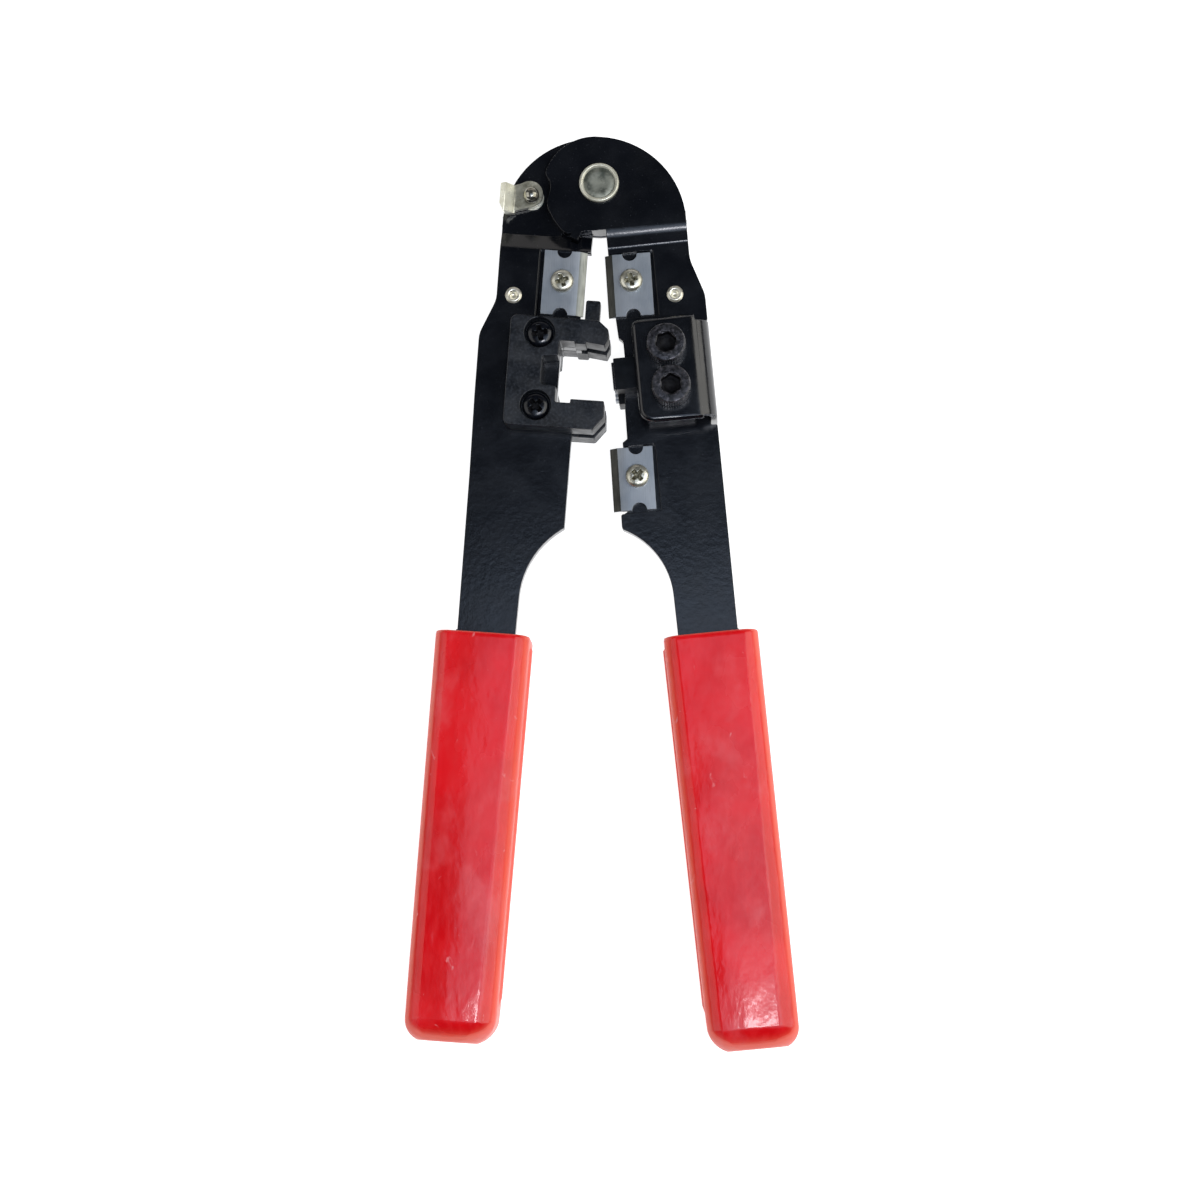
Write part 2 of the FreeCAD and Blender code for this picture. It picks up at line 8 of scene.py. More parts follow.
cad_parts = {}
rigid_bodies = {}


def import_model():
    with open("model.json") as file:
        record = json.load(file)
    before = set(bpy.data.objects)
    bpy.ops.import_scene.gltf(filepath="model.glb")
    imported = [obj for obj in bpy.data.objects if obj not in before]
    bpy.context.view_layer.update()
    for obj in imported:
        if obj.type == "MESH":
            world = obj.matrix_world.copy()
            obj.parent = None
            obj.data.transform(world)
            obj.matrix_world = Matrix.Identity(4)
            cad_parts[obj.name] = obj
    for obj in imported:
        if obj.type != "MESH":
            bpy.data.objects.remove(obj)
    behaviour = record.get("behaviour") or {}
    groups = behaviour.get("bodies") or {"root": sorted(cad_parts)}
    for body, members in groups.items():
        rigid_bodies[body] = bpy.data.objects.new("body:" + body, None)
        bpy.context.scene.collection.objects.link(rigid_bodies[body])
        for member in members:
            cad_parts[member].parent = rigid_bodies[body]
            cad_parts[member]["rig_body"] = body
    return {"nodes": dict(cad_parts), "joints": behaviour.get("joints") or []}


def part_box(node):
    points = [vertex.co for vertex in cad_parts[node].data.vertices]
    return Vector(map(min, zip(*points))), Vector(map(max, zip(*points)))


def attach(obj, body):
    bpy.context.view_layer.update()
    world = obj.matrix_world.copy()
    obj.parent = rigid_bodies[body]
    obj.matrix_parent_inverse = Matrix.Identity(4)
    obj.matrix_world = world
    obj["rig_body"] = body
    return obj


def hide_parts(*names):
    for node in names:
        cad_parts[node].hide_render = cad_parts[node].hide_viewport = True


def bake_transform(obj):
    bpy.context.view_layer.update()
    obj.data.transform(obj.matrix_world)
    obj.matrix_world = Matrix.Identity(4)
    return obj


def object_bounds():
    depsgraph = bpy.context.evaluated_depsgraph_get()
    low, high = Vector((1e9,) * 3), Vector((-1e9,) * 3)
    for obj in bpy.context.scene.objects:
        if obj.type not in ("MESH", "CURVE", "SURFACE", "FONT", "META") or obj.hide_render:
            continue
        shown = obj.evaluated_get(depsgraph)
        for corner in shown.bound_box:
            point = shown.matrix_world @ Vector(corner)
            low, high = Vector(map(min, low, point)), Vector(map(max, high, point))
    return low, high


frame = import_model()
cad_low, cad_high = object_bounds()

# Crimping tool for modular plugs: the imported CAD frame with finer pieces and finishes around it.
# Pieces are drawn in millimetres in an arm's own upright frame, with the main pivot at (0, 0) and
# z = 0 in the middle plane of the plates, and are then placed by arm_matrix().

MM = 0.001
PIVOT = Vector(next(joint["pos_m"] for joint in frame["joints"] if joint["name"] == "handle_pivot"))
LEANS = {"left_arm": math.radians(-4.2), "right_arm": math.radians(5.3)}    # about the pivot, at rest
LEANS["latch"] = LEANS["left_arm"]

# ---- driving dimensions, in millimetres where no unit is said ----
PLATE_FRONT = 1.5           # front face of the working plates
PIN_RADIUS = 1.5            # spring pins, latch pin and blade screws
PIVOT_FACE = 3.42           # radius of the pivot's face inside its rim
LATCH_STRIP_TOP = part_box("latch_pin")[1].z - 3.3 * MM   # metres: the strip lies under the pin's head

FLAT_LIMIT = math.radians(0.4)      # faces that meet at less than this are one flat face
EDGE_LIMIT = math.radians(35)       # edges sharper than this are rounded

GRIP_DROP = 3.3             # height of the rounding down each narrow side
GRIP_BREAK = math.radians(15)   # slope at the crease where the flat face ends
GRIP_BANDS = ((2.7, 0.5), (2.9, 1.2))   # left and right rounding: width at the mouth, growth to the end
GRIP_END_BAND = 5.0         # length of the rounding at the closed end
GRIP_END_DROP = 5.8         # height of that rounding
GRIP_END_CORNERS = (6.2, 4.6)   # plan radii of the closed end: inner, outer
GRIP_CAD_CORNER = 3.4       # the CAD sleeve has its full width this far from its closed end
GRIP_SAG = 0.4              # fall of the flat faces before the rounding at the closed end
GRIP_SAG_LENGTH = 13.0      # and the length over which they fall
GRIP_WALL = 2.3             # thickness of the sleeve
GRIP_MOUTH = 5.0            # depth of the open mouth round the tang
GRIP_CROWN = 0.22           # rise of the flat faces at their middle
SEAM_PROUD = 0.4            # how far the moulded seam stands out
SEAM_START = 1.8            # it begins this far below the mouth
SEAM_STOP = 9.0             # and stops this far before the closed end
SEAM_HALF = 1.2             # half of its width

WIRE = 0.6                  # radius of the return spring's wire
COIL = 9.5                  # mean radius of its coil
COIL_TURNS = 2
LEG_OVERRUN = 1.5           # how far each leg runs on past its pin's middle

VIEW_DISTANCE = 650.0       # camera to the middle of the picture
VIEW_TILT = 7.8             # degrees the camera leans towards the handles
VIEW_SWING = 2.3            # degrees it stands to the right
LENS = 90.7                 # focal length on a sensor 36 mm wide
AIM = Vector((0.056, -91.27, 0.0))   # middle of the picture from the pivot


# ---- the frame's own measures ----
def arm_matrix(body):
    """From an arm's upright frame in millimetres to the row frame in metres."""
    return Matrix.Translation(PIVOT) @ Matrix.Rotation(LEANS[body], 4, "Z") @ Matrix.Scale(MM, 4)


def arm_solids(node):
    """Box of each separate solid of a CAD node in its arm's frame, from the head towards the handles."""
    mesh = frame["nodes"][node].data
    to_arm = arm_matrix(frame["nodes"][node]["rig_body"]).inverted()
    bm = bmesh.new()
    bm.from_mesh(mesh)
    bmesh.ops.remove_doubles(bm, verts=bm.verts, dist=1e-6)
    unseen = set(bm.verts)
    boxes = []
    while unseen:
        island = [unseen.pop()]
        for vertex in island:
            for edge in vertex.link_edges:
                other = edge.other_vert(vertex)
                if other in unseen:
                    unseen.remove(other)
                    island.append(other)
        points = [to_arm @ vertex.co for vertex in island]
        low = Vector([min(p[k] for p in points) for k in range(3)])
        high = Vector([max(p[k] for p in points) for k in range(3)])
        boxes.append((low, high))
    bm.free()
    return sorted(boxes, key=lambda box: -box[0].y)


def arm_box(node):
    """Box of a whole CAD node in its arm's frame."""
    boxes = arm_solids(node)
    low = Vector([min(box[0][k] for box in boxes) for k in range(3)])
    high = Vector([max(box[1][k] for box in boxes) for k in range(3)])
    return low, high


def arm_mesh(node):
    """A copy of a CAD node's mesh in its arm's frame, with its flat faces joined up."""
    bm = bmesh.new()
    bm.from_mesh(frame["nodes"][node].data)
    bm.transform(arm_matrix(frame["nodes"][node]["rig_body"]).inverted())
    bmesh.ops.remove_doubles(bm, verts=bm.verts, dist=0.001)
    bmesh.ops.dissolve_limit(bm, angle_limit=FLAT_LIMIT, verts=bm.verts, edges=bm.edges)
    return bm


def arm_width(node, y_low, y_high):
    """Least and greatest X of a CAD node between two heights."""
    bm = arm_mesh(node)
    across = [vertex.co.x for vertex in bm.verts if y_low <= vertex.co.y <= y_high]
    bm.free()
    return min(across), max(across)


def centres(node):
    """Plan centre of each solid of a node in its arm's frame."""
    return [((low + high) / 2).to_2d() for low, high in arm_solids(node)]


# ---- mesh tools ----
def rings_to_mesh(rings):
    """Skins a list of closed rings of points: a ring of one point closes that end."""
    bm = bmesh.new()
    made = [[bm.verts.new(p) for p in ring] for ring in rings]
    for lower, upper in zip(made, made[1:]):
        for k in range(max(len(lower), len(upper))):
            corners = [lower[k % len(lower)], lower[(k + 1) % len(lower)]]
            corners += [upper[(k + 1) % len(upper)], upper[k % len(upper)]]
            face = list(dict.fromkeys(corners))
            if len(face) > 2:
                bm.faces.new(face)
    bmesh.ops.recalc_face_normals(bm, faces=bm.faces)
    return bm


def lathe(profile, sides, knurl=None):
    """Turned solid about +Z: profile is (radius, z) from the bottom centre to the top centre.
    knurl is (lowest z, highest z, depth): every other corner is drawn in between those heights."""
    rings = []
    for radius, z in profile:
        if radius == 0:
            rings.append([Vector((0, 0, z))])
            continue
        ring = []
        for k in range(sides):
            inset = knurl[2] if knurl and knurl[0] <= z <= knurl[1] and k % 2 else 0
            turn = 2 * math.pi * k / sides
            ring.append(Vector(((radius - inset) * math.cos(turn), (radius - inset) * math.sin(turn), z)))
        rings.append(ring)
    return rings_to_mesh(rings)


def arc(centre, radius, start, end, steps=6):
    """Profile points round a centre, from one angle in degrees to another."""
    turns = [math.radians(start + (end - start) * k / steps) for k in range(steps + 1)]
    return [(centre[0] + radius * math.cos(t), centre[1] + radius * math.sin(t)) for t in turns]


def dome(radius, z_rim, z_top, power):
    """Profile points from a dome's rim to its top: the lower the power, the squarer the shoulder."""
    points = []
    for k in range(8):
        turn = math.pi / 2 * k / 8
        points.append((radius * math.cos(turn) ** power, z_rim + (z_top - z_rim) * math.sin(turn)))
    return points + [(0, z_top)]


def prism(lower, upper, z0, z1):
    """Solid between two plan outlines that have the same number of corners."""
    bm = bmesh.new()
    low = [bm.verts.new((x, y, z0)) for x, y in lower]
    high = [bm.verts.new((x, y, z1)) for x, y in upper]
    bm.faces.new(low[::-1])
    bm.faces.new(high)
    for k in range(len(low)):
        j = (k + 1) % len(low)
        bm.faces.new([low[k], low[j], high[j], high[k]])
    bmesh.ops.recalc_face_normals(bm, faces=bm.faces)
    return bm


def tube(points, radius):
    """Round wire along a list of points, with domed ends."""
    rings = []
    normal = Vector((0, 0, 1))
    count = len(points)
    sides = 20
    turns = [2 * math.pi * k / sides for k in range(sides)]
    for i, point in enumerate(points):
        along = (points[min(i + 1, count - 1)] - points[max(i - 1, 0)]).normalized()
        normal = (normal - along * normal.dot(along)).normalized()
        side = along.cross(normal)
        ring = [(normal * math.cos(t) + side * math.sin(t)) * radius for t in turns]
        if i == 0:
            rings.append([point - along * radius * 0.6])
            rings.append([point - along * radius * 0.4 + p * 0.7 for p in ring])
        rings.append([point + p for p in ring])
        if i == count - 1:
            rings.append([point + along * radius * 0.4 + p * 0.7 for p in ring])
            rings.append([point + along * radius * 0.6])
    return rings_to_mesh(rings)


def copies(bm, places, first_turn=0.0, turn_step=0.0):
    """One mesh with a copy of bm at each plan place, each turned a little further."""
    whole = bmesh.new()
    source = bpy.data.meshes.new("copies_source")
    for k, place in enumerate(places):
        one = bm.copy()
        turn = Matrix.Rotation(math.radians(first_turn + k * turn_step), 4, "Z")
        bmesh.ops.transform(one, matrix=Matrix.Translation(Vector(place).to_3d()) @ turn, verts=one.verts)
        one.to_mesh(source)
        whole.from_mesh(source)
        one.free()
    bpy.data.meshes.remove(source)
    bm.free()
    return whole


def carved(bm, cutters):
    """bm with each cutter taken out of it."""
    def loose(shape, name):
        mesh = bpy.data.meshes.new(name)
        shape.to_mesh(mesh)
        shape.free()
        return bpy.data.objects.new(name, mesh)

    body = loose(bm, "carved_body")
    bpy.context.scene.collection.objects.link(body)
    tools = [loose(cutter, "carved_tool") for cutter in cutters]
    for tool in tools:
        bpy.context.scene.collection.objects.link(tool)
        cut = body.modifiers.new("cut", "BOOLEAN")
        cut.operation = "DIFFERENCE"
        cut.solver = "EXACT"
        cut.object = tool
    graph = bpy.context.evaluated_depsgraph_get()
    result = bmesh.new()
    result.from_mesh(body.evaluated_get(graph).to_mesh())
    for thing in [body, *tools]:
        mesh = thing.data
        bpy.data.objects.remove(thing)
        bpy.data.meshes.remove(mesh)
    return result


def soften(obj, width, segments=2, clamped=False):
    """Rounds an object's sharp edges and shades it smooth."""
    bevel = obj.modifiers.new("edge_rounding", "BEVEL")
    bevel.width = width * MM
    bevel.segments = segments
    bevel.limit_method = "ANGLE"
    bevel.angle_limit = EDGE_LIMIT
    bevel.use_clamp_overlap = clamped
    bevel.miter_outer = "MITER_ARC"
    obj.modifiers.new("flat_faces", "WEIGHTED_NORMAL")


def second_finish_where(bm, test):
    """Marks the faces whose middle passes a test for the piece's second finish."""
    for face in bm.faces:
        face.material_index = int(test(face.calc_center_median()))
    return bm


def add_piece(name, bm, body, finish, replaced, rounding=0.0, second=None, blended=False):
    """Makes a piece from a mesh drawn in its arm's frame and puts it on its body. A blended piece is drawn
    about the pivot in the row's directions and is put on no body."""
    mesh = bpy.data.meshes.new(name)
    bm.to_mesh(mesh)
    bm.free()
    mesh.transform(Matrix.Translation(PIVOT) @ Matrix.Scale(MM, 4) if blended else arm_matrix(body))
    for polygon in mesh.polygons:
        polygon.use_smooth = True
    mesh.materials.append(finish)
    if second:
        mesh.materials.append(second)
    piece = bpy.data.objects.new(name, mesh)
    bpy.context.scene.collection.objects.link(piece)
    if rounding:
        soften(piece, rounding)
    if not blended:
        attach(piece, body)
    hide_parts(*replaced)
    return piece


def refine_node(name, finish, rounding, segments, clamped):
    """Keeps a CAD node, rounds its edges with modifiers and gives it a finish."""
    obj = frame["nodes"][name]
    weld = obj.modifiers.new("weld", "WELD")
    weld.merge_threshold = 0.001 * MM
    flats = obj.modifiers.new("flats", "DECIMATE")
    flats.decimate_type = "DISSOLVE"
    flats.angle_limit = FLAT_LIMIT
    soften(obj, rounding, segments, clamped)
    for polygon in obj.data.polygons:
        polygon.use_smooth = True
    if not obj.material_slots:
        obj.data.materials.append(finish)
    for material_slot in obj.material_slots:
        material_slot.material = finish


# ---- finishes ----
class Finish:
    """A Principled material being built: constants sit on the shader, textures come from noise.
    Colours are linear."""

    def __init__(self, name, **sockets):
        self.material = bpy.data.materials.new(name)
        self.material.use_nodes = True
        self.tree = self.material.node_tree
        self.shader = self.tree.nodes["Principled BSDF"]
        self.place = self.tree.nodes.new("ShaderNodeTexCoord").outputs["Object"]
        for socket, value in sockets.items():
            self.shader.inputs[socket.replace("_", " ")].default_value = value

    def noise(self, scale, detail=3.0, stretch=(1, 1, 1), distortion=0.0):
        """Noise with features of about 1 / scale metres."""
        mapping = self.tree.nodes.new("ShaderNodeMapping")
        mapping.inputs["Scale"].default_value = stretch
        texture = self.tree.nodes.new("ShaderNodeTexNoise")
        texture.inputs["Scale"].default_value = scale
        texture.inputs["Detail"].default_value = detail
        texture.inputs["Distortion"].default_value = distortion
        self.tree.links.new(self.place, mapping.inputs["Vector"])
        self.tree.links.new(mapping.outputs["Vector"], texture.inputs["Vector"])
        return texture.outputs["Fac"]

    def span(self, value, start, end, low=0.0, high=1.0):
        """Maps value from start..end to low..high and clamps it."""
        node = self.tree.nodes.new("ShaderNodeMapRange")
        node.interpolation_type = "SMOOTHSTEP"
        for socket, number in zip(("From Min", "From Max", "To Min", "To Max"), (start, end, low, high)):
            node.inputs[socket].default_value = number
        self.tree.links.new(value, node.inputs["Value"])
        return node.outputs["Result"]

    def mix(self, factor, first, second):
        """Mixes two colours, each a triple or another node's output."""
        node = self.tree.nodes.new("ShaderNodeMix")
        node.data_type = "RGBA"
        self.tree.links.new(factor, node.inputs[0])
        for index, colour in ((6, first), (7, second)):
            if isinstance(colour, tuple):
                node.inputs[index].default_value = (*colour, 1)
            else:
                self.tree.links.new(colour, node.inputs[index])
        return node.outputs[2]

    def add(self, first, second, share):
        """first + second * share."""
        node = self.tree.nodes.new("ShaderNodeMath")
        node.operation = "MULTIPLY_ADD"
        self.tree.links.new(second, node.inputs[0])
        node.inputs[1].default_value = share
        self.tree.links.new(first, node.inputs[2])
        return node.outputs["Value"]

    def slant(self):
        """0 on faces that lie flat in the tool's plane, rising to 1 on its upright sides."""
        split = self.tree.nodes.new("ShaderNodeSeparateXYZ")
        size = self.tree.nodes.new("ShaderNodeMath")
        size.operation = "ABSOLUTE"
        coordinates = self.tree.nodes.new("ShaderNodeTexCoord")
        self.tree.links.new(coordinates.outputs["Normal"], split.inputs["Vector"])
        self.tree.links.new(split.outputs["Z"], size.inputs[0])
        return self.span(size.outputs["Value"], 1.0, 0.0)

    def bump(self, height, distance):
        """Relief of so many millimetres per unit of height, under the coat as well as on it."""
        node = self.tree.nodes.new("ShaderNodeBump")
        node.inputs["Distance"].default_value = distance * MM
        self.tree.links.new(height, node.inputs["Height"])
        for socket in ("Normal", "Coat Normal"):
            self.tree.links.new(node.outputs["Normal"], self.shader.inputs[socket])

    def drive(self, socket, value):
        """Joins a node's output to one of the shader's sockets."""
        self.tree.links.new(value, self.shader.inputs[socket])


def black_enamel():
    """Glossy black of the plates, with a faint orange peel."""
    paint = Finish("black_enamel", Specular_IOR_Level=0.5, Coat_Weight=0.2, Coat_Roughness=0.08)
    clouds = paint.span(paint.noise(70, 4), 0.35, 0.65)
    base = paint.mix(clouds, (0.0022, 0.0028, 0.0045), (0.004, 0.0048, 0.0072))
    specks = paint.span(paint.noise(2600, 2), 0.68, 0.76, 0.0, 0.5)
    paint.drive("Base Color", paint.mix(specks, base, (0.05, 0.055, 0.065)))
    paint.drive("Roughness", paint.span(paint.noise(160, 3), 0.3, 0.7, 0.16, 0.24))
    paint.bump(paint.add(paint.noise(900, 2), paint.noise(3500, 1), 0.2), 0.016)
    return paint.material


def red_vinyl():
    """Dipped vinyl of the grips: translucent red with a haze of wear. Its upright sides are painted paler
    and more orange: painted light for light glowing through them.
    """
    paint = Finish(
        "red_vinyl", Specular_IOR_Level=0.35, Coat_Weight=0.2, Coat_Roughness=0.07,
        Subsurface_Weight=0.15, Subsurface_Radius=(1.0, 0.3, 0.15), Subsurface_Scale=1.6 * MM,
    )
    clouds = paint.span(paint.noise(48, 6), 0.36, 0.64)
    base = paint.mix(clouds, (0.61, 0.002, 0.005), (0.76, 0.007, 0.012))
    grain = paint.span(paint.noise(700, 6, (1.0, 0.35, 1.0)), 0.4, 0.68, 0.0, 0.35)
    base = paint.mix(grain, base, (0.74, 0.024, 0.028))
    side = paint.slant()
    # Painted light: the upright sides are mixed towards pale orange, standing in for light glowing through
    # the vinyl.
    base = paint.mix(paint.span(side, 0.005, 0.3, 0.0, 0.9), base, (0.84, 0.12, 0.075))
    smears = paint.span(paint.noise(130, 10, (1.0, 0.6, 1.0), 0.3), 0.54, 0.72, 0.0, 0.18)
    base = paint.mix(smears, base, (0.82, 0.2, 0.22))
    scuffs = paint.span(paint.noise(380, 8, (1.0, 0.6, 1.0), 0.8), 0.67, 0.77, 0.0, 0.6)
    paint.drive("Base Color", paint.mix(scuffs, base, (0.9, 0.42, 0.44)))
    dull = paint.span(paint.noise(60, 5, (1, 0.6, 1)), 0.35, 0.75, 0.17, 0.34)
    paint.drive("Roughness", paint.add(dull, paint.span(side, 0.01, 0.4), 0.3))
    paint.bump(paint.add(paint.noise(900, 3), paint.noise(110, 4, (1.0, 0.5, 1.0)), 22.0), 0.015)
    return paint.material


def die_plastic():
    """Mottled, slightly rough black of the die."""
    paint = Finish("die_black", Specular_IOR_Level=0.35)
    mottle = paint.span(paint.noise(230, 9, distortion=0.4), 0.38, 0.64)
    base = paint.mix(mottle, (0.001, 0.002, 0.004), (0.0115, 0.0135, 0.0175))
    grain = paint.span(paint.noise(1700, 5), 0.44, 0.66, 0.0, 0.55)
    paint.drive("Base Color", paint.mix(grain, base, (0.028, 0.032, 0.04)))
    paint.drive("Roughness", paint.span(paint.noise(300, 4), 0.3, 0.7, 0.28, 0.46))
    paint.bump(paint.add(paint.noise(900, 4), paint.noise(3200, 2), 0.4), 0.04)
    return paint.material


def punch_plastic():
    """Darker, smoother black of the punch blocks."""
    paint = Finish("punch_black", Specular_IOR_Level=0.14)
    mottle = paint.span(paint.noise(500, 5), 0.36, 0.68)
    paint.drive("Base Color", paint.mix(mottle, (0.0025, 0.0035, 0.005), (0.005, 0.0065, 0.009)))
    paint.drive("Roughness", paint.span(paint.noise(300, 4), 0.3, 0.7, 0.28, 0.4))
    paint.bump(paint.noise(1800, 4), 0.01)
    return paint.material


def black_screw():
    """Glossy black screws of the die."""
    paint = Finish("black_screw", Specular_IOR_Level=0.4)
    mottle = paint.span(paint.noise(900, 4), 0.36, 0.68)
    paint.drive("Base Color", paint.mix(mottle, (0.002, 0.0025, 0.0045), (0.005, 0.006, 0.009)))
    paint.drive("Roughness", paint.span(paint.noise(700, 3), 0.3, 0.7, 0.14, 0.24))
    paint.bump(paint.noise(1500, 3), 0.008)
    return paint.material


def black_oxide():
    """Blackened steel, worn grey where it is handled."""
    paint = Finish("black_oxide", Metallic=0.45, Specular_IOR_Level=0.5)
    mottle = paint.span(paint.noise(1100, 6), 0.38, 0.64)
    base = paint.mix(mottle, (0.008, 0.0083, 0.01), (0.04, 0.04, 0.047))
    worn = paint.span(paint.noise(1200, 5), 0.5, 0.7, 0.0, 0.8)
    paint.drive("Base Color", paint.mix(worn, base, (0.11, 0.105, 0.12)))
    paint.drive("Roughness", paint.span(paint.noise(700, 4), 0.3, 0.7, 0.22, 0.38))
    paint.bump(paint.noise(2400, 4), 0.03)
    return paint.material


def brushed_steel(name, dark, light, streak):
    """Ground blade steel with lines along the blade."""
    paint = Finish(name, Metallic=0.8, Specular_IOR_Level=0.5)
    lines = paint.noise(500, 3, (8.0, 0.5, 8.0))
    base = paint.mix(paint.span(paint.noise(150, 4), 0.35, 0.65), dark, light)
    paint.drive("Base Color", paint.mix(paint.span(lines, 0.45, 0.75, 0.0, 0.45), base, streak))
    paint.drive("Roughness", paint.span(lines, 0.3, 0.7, 0.36, 0.48))
    paint.bump(lines, 0.004)
    return paint.material


def nickel_plate(name, light, shade, speck, roughness, metallic):
    """Plated steel with cloudy shades and darker or lighter specks."""
    paint = Finish(name, Metallic=metallic, Specular_IOR_Level=0.5)
    base = paint.mix(paint.span(paint.noise(420, 5), 0.36, 0.66), light, shade)
    specks = paint.span(paint.noise(1700, 3), 0.6, 0.74, 0.0, 0.6)
    paint.drive("Base Color", paint.mix(specks, base, speck))
    paint.drive("Roughness", paint.span(paint.noise(500, 3), 0.3, 0.7, *roughness))
    paint.bump(paint.noise(1300, 4), 0.012)
    return paint.material


def shadowed(name, dark, light):
    """The dull, dark inside of a screw's recess: painted shade."""
    paint = Finish(name, Metallic=0.3, Specular_IOR_Level=0.2)
    paint.drive("Base Color", paint.mix(paint.span(paint.noise(1300, 4), 0.4, 0.66), dark, light))
    paint.drive("Roughness", paint.span(paint.noise(700, 3), 0.3, 0.7, 0.5, 0.7))
    paint.bump(paint.noise(1700, 3), 0.02)
    return paint.material


def latch_plate(strip_top):
    """Nickel painted near white on the turned-up tab as painted light, and dark on the flat strip below
    strip_top as painted shade.
    """
    paint = Finish("latch_plate", Metallic=0.45, Specular_IOR_Level=0.5)
    split = paint.tree.nodes.new("ShaderNodeSeparateXYZ")
    paint.tree.links.new(paint.place, split.inputs["Vector"])
    height = paint.add(split.outputs["Z"], paint.noise(900, 3), 0.6 * MM)
    raised = paint.span(height, strip_top + 0.1 * MM, strip_top + 0.9 * MM)
    mottle = paint.span(paint.noise(420, 5), 0.36, 0.66)
    # Painted shade on the flat strip and painted light on the tab: two tones of one nickel sheet, split by
    # height.
    strip = paint.mix(mottle, (0.3, 0.29, 0.235), (0.16, 0.155, 0.12))
    tab = paint.mix(mottle, (1.0, 0.99, 0.84), (0.86, 0.84, 0.68))
    paint.drive("Base Color", paint.mix(raised, strip, tab))
    paint.drive("Roughness", paint.span(paint.noise(500, 3), 0.3, 0.7, 0.24, 0.4))
    paint.bump(paint.noise(1300, 4), 0.012)
    return paint.material


def spring_steel():
    """Drawn wire and sprung clips."""
    paint = Finish("spring_steel", Metallic=0.9, Specular_IOR_Level=0.5)
    drawn = paint.noise(900, 3)
    paint.drive("Base Color", paint.mix(paint.span(drawn, 0.35, 0.7), (0.3, 0.3, 0.31), (0.4, 0.39, 0.38)))
    paint.drive("Roughness", paint.span(drawn, 0.3, 0.7, 0.26, 0.4))
    paint.bump(drawn, 0.006)
    return paint.material


def make_finishes():
    """Every finish by name."""
    finishes = {
        "black_enamel": black_enamel(),
        "red_vinyl": red_vinyl(),
        "die_black": die_plastic(),
        "punch_black": punch_plastic(),
        "black_screw": black_screw(),
        "black_oxide": black_oxide(),
        "latch_plate": latch_plate(LATCH_STRIP_TOP),
        # The two recess finishes are painted shade: dark insides for the cross recesses and hexagon sockets.
        "shaded_recess": shadowed("shaded_recess", (0.08, 0.075, 0.048), (0.46, 0.44, 0.33)),
        "black_recess": shadowed("black_recess", (0.002, 0.002, 0.003), (0.009, 0.009, 0.011)),
        "spring_steel": spring_steel(),
    }
    steels = {
        "blade_steel": ((0.27, 0.3, 0.335), (0.35, 0.375, 0.405), (0.2, 0.22, 0.245)),
        "ground_edge": ((0.17, 0.18, 0.165), (0.26, 0.27, 0.25), (0.12, 0.12, 0.11)),
        # Painted shade: a far darker copy of the bevel steel, for the bevels on the right arm.
        "shaded_edge": ((0.034, 0.034, 0.031), (0.062, 0.062, 0.056), (0.024, 0.024, 0.022)),
    }
    for name, colours in steels.items():
        finishes[name] = brushed_steel(name, *colours)
    # light, shade, speck, roughness from and to, metallic
    plated = {
        "screw_nickel": ((0.62, 0.61, 0.53), (0.36, 0.35, 0.28), (0.1, 0.095, 0.07), (0.24, 0.4), 0.8),
        "nickel_plate": ((0.8, 0.78, 0.68), (0.64, 0.61, 0.5), (0.34, 0.31, 0.24), (0.24, 0.4), 0.8),
        "dull_nickel": ((0.25, 0.26, 0.22), (0.07, 0.08, 0.066), (0.3, 0.3, 0.26), (0.4, 0.58), 0.6),
        "pivot_rim": ((0.68, 0.67, 0.56), (0.5, 0.49, 0.4), (0.34, 0.32, 0.24), (0.26, 0.4), 0.45),
        "pin_steel": ((0.4, 0.39, 0.34), (0.2, 0.19, 0.15), (0.1, 0.095, 0.07), (0.14, 0.24), 0.9),
    }
    for name, values in plated.items():
        finishes[name] = nickel_plate(name, *values)
    return finishes


# ---- grips ----
def grip_section(left, right, depth, left_band, right_band):
    """Points round the sleeve in X and Z from the middle of its right side. Each flat face ends in a
    crease along both long edges, a band's width from the side, and rounds down from there."""
    drop = min(GRIP_DROP, depth - 0.05)

    def curve(side, width, band):
        reach = min(band, width - 0.1) / (1 - math.sin(GRIP_BREAK))
        points = []
        for k in range(10):
            turn = (math.pi / 2 - GRIP_BREAK) * k / 9
            x = width - reach + reach * math.cos(turn)
            points.append((side * x, depth - drop * (1 - math.sin(turn) / math.cos(GRIP_BREAK))))
        return points

    right_curve = curve(1, right, right_band)
    left_curve = curve(-1, left, left_band)
    x0, x1 = right_curve[-1][0], left_curve[-1][0]
    shares = (0.02, 0.08, 0.18, 0.3, 0.42, 0.5, 0.58, 0.7, 0.82, 0.92, 0.98)
    face = [(x0 + (x1 - x0) * t, depth + GRIP_CROWN * math.sin(math.pi * t)) for t in shares]
    seam_heights = (0.0, SEAM_HALF - 0.3, SEAM_HALF, SEAM_HALF + 0.3, SEAM_HALF + 0.6)
    heights = [h for h in seam_heights if h < depth - drop]
    heights += [depth - drop - 0.02] * (len(seam_heights) - len(heights))
    right_side = [(right, h) for h in heights]
    left_side = [(-left, h) for h in heights]
    upper = right_side + right_curve + face + left_curve[::-1] + left_side[::-1]
    lower = [(x, -z) for x, z in upper[-2:0:-1]]
    return upper + lower


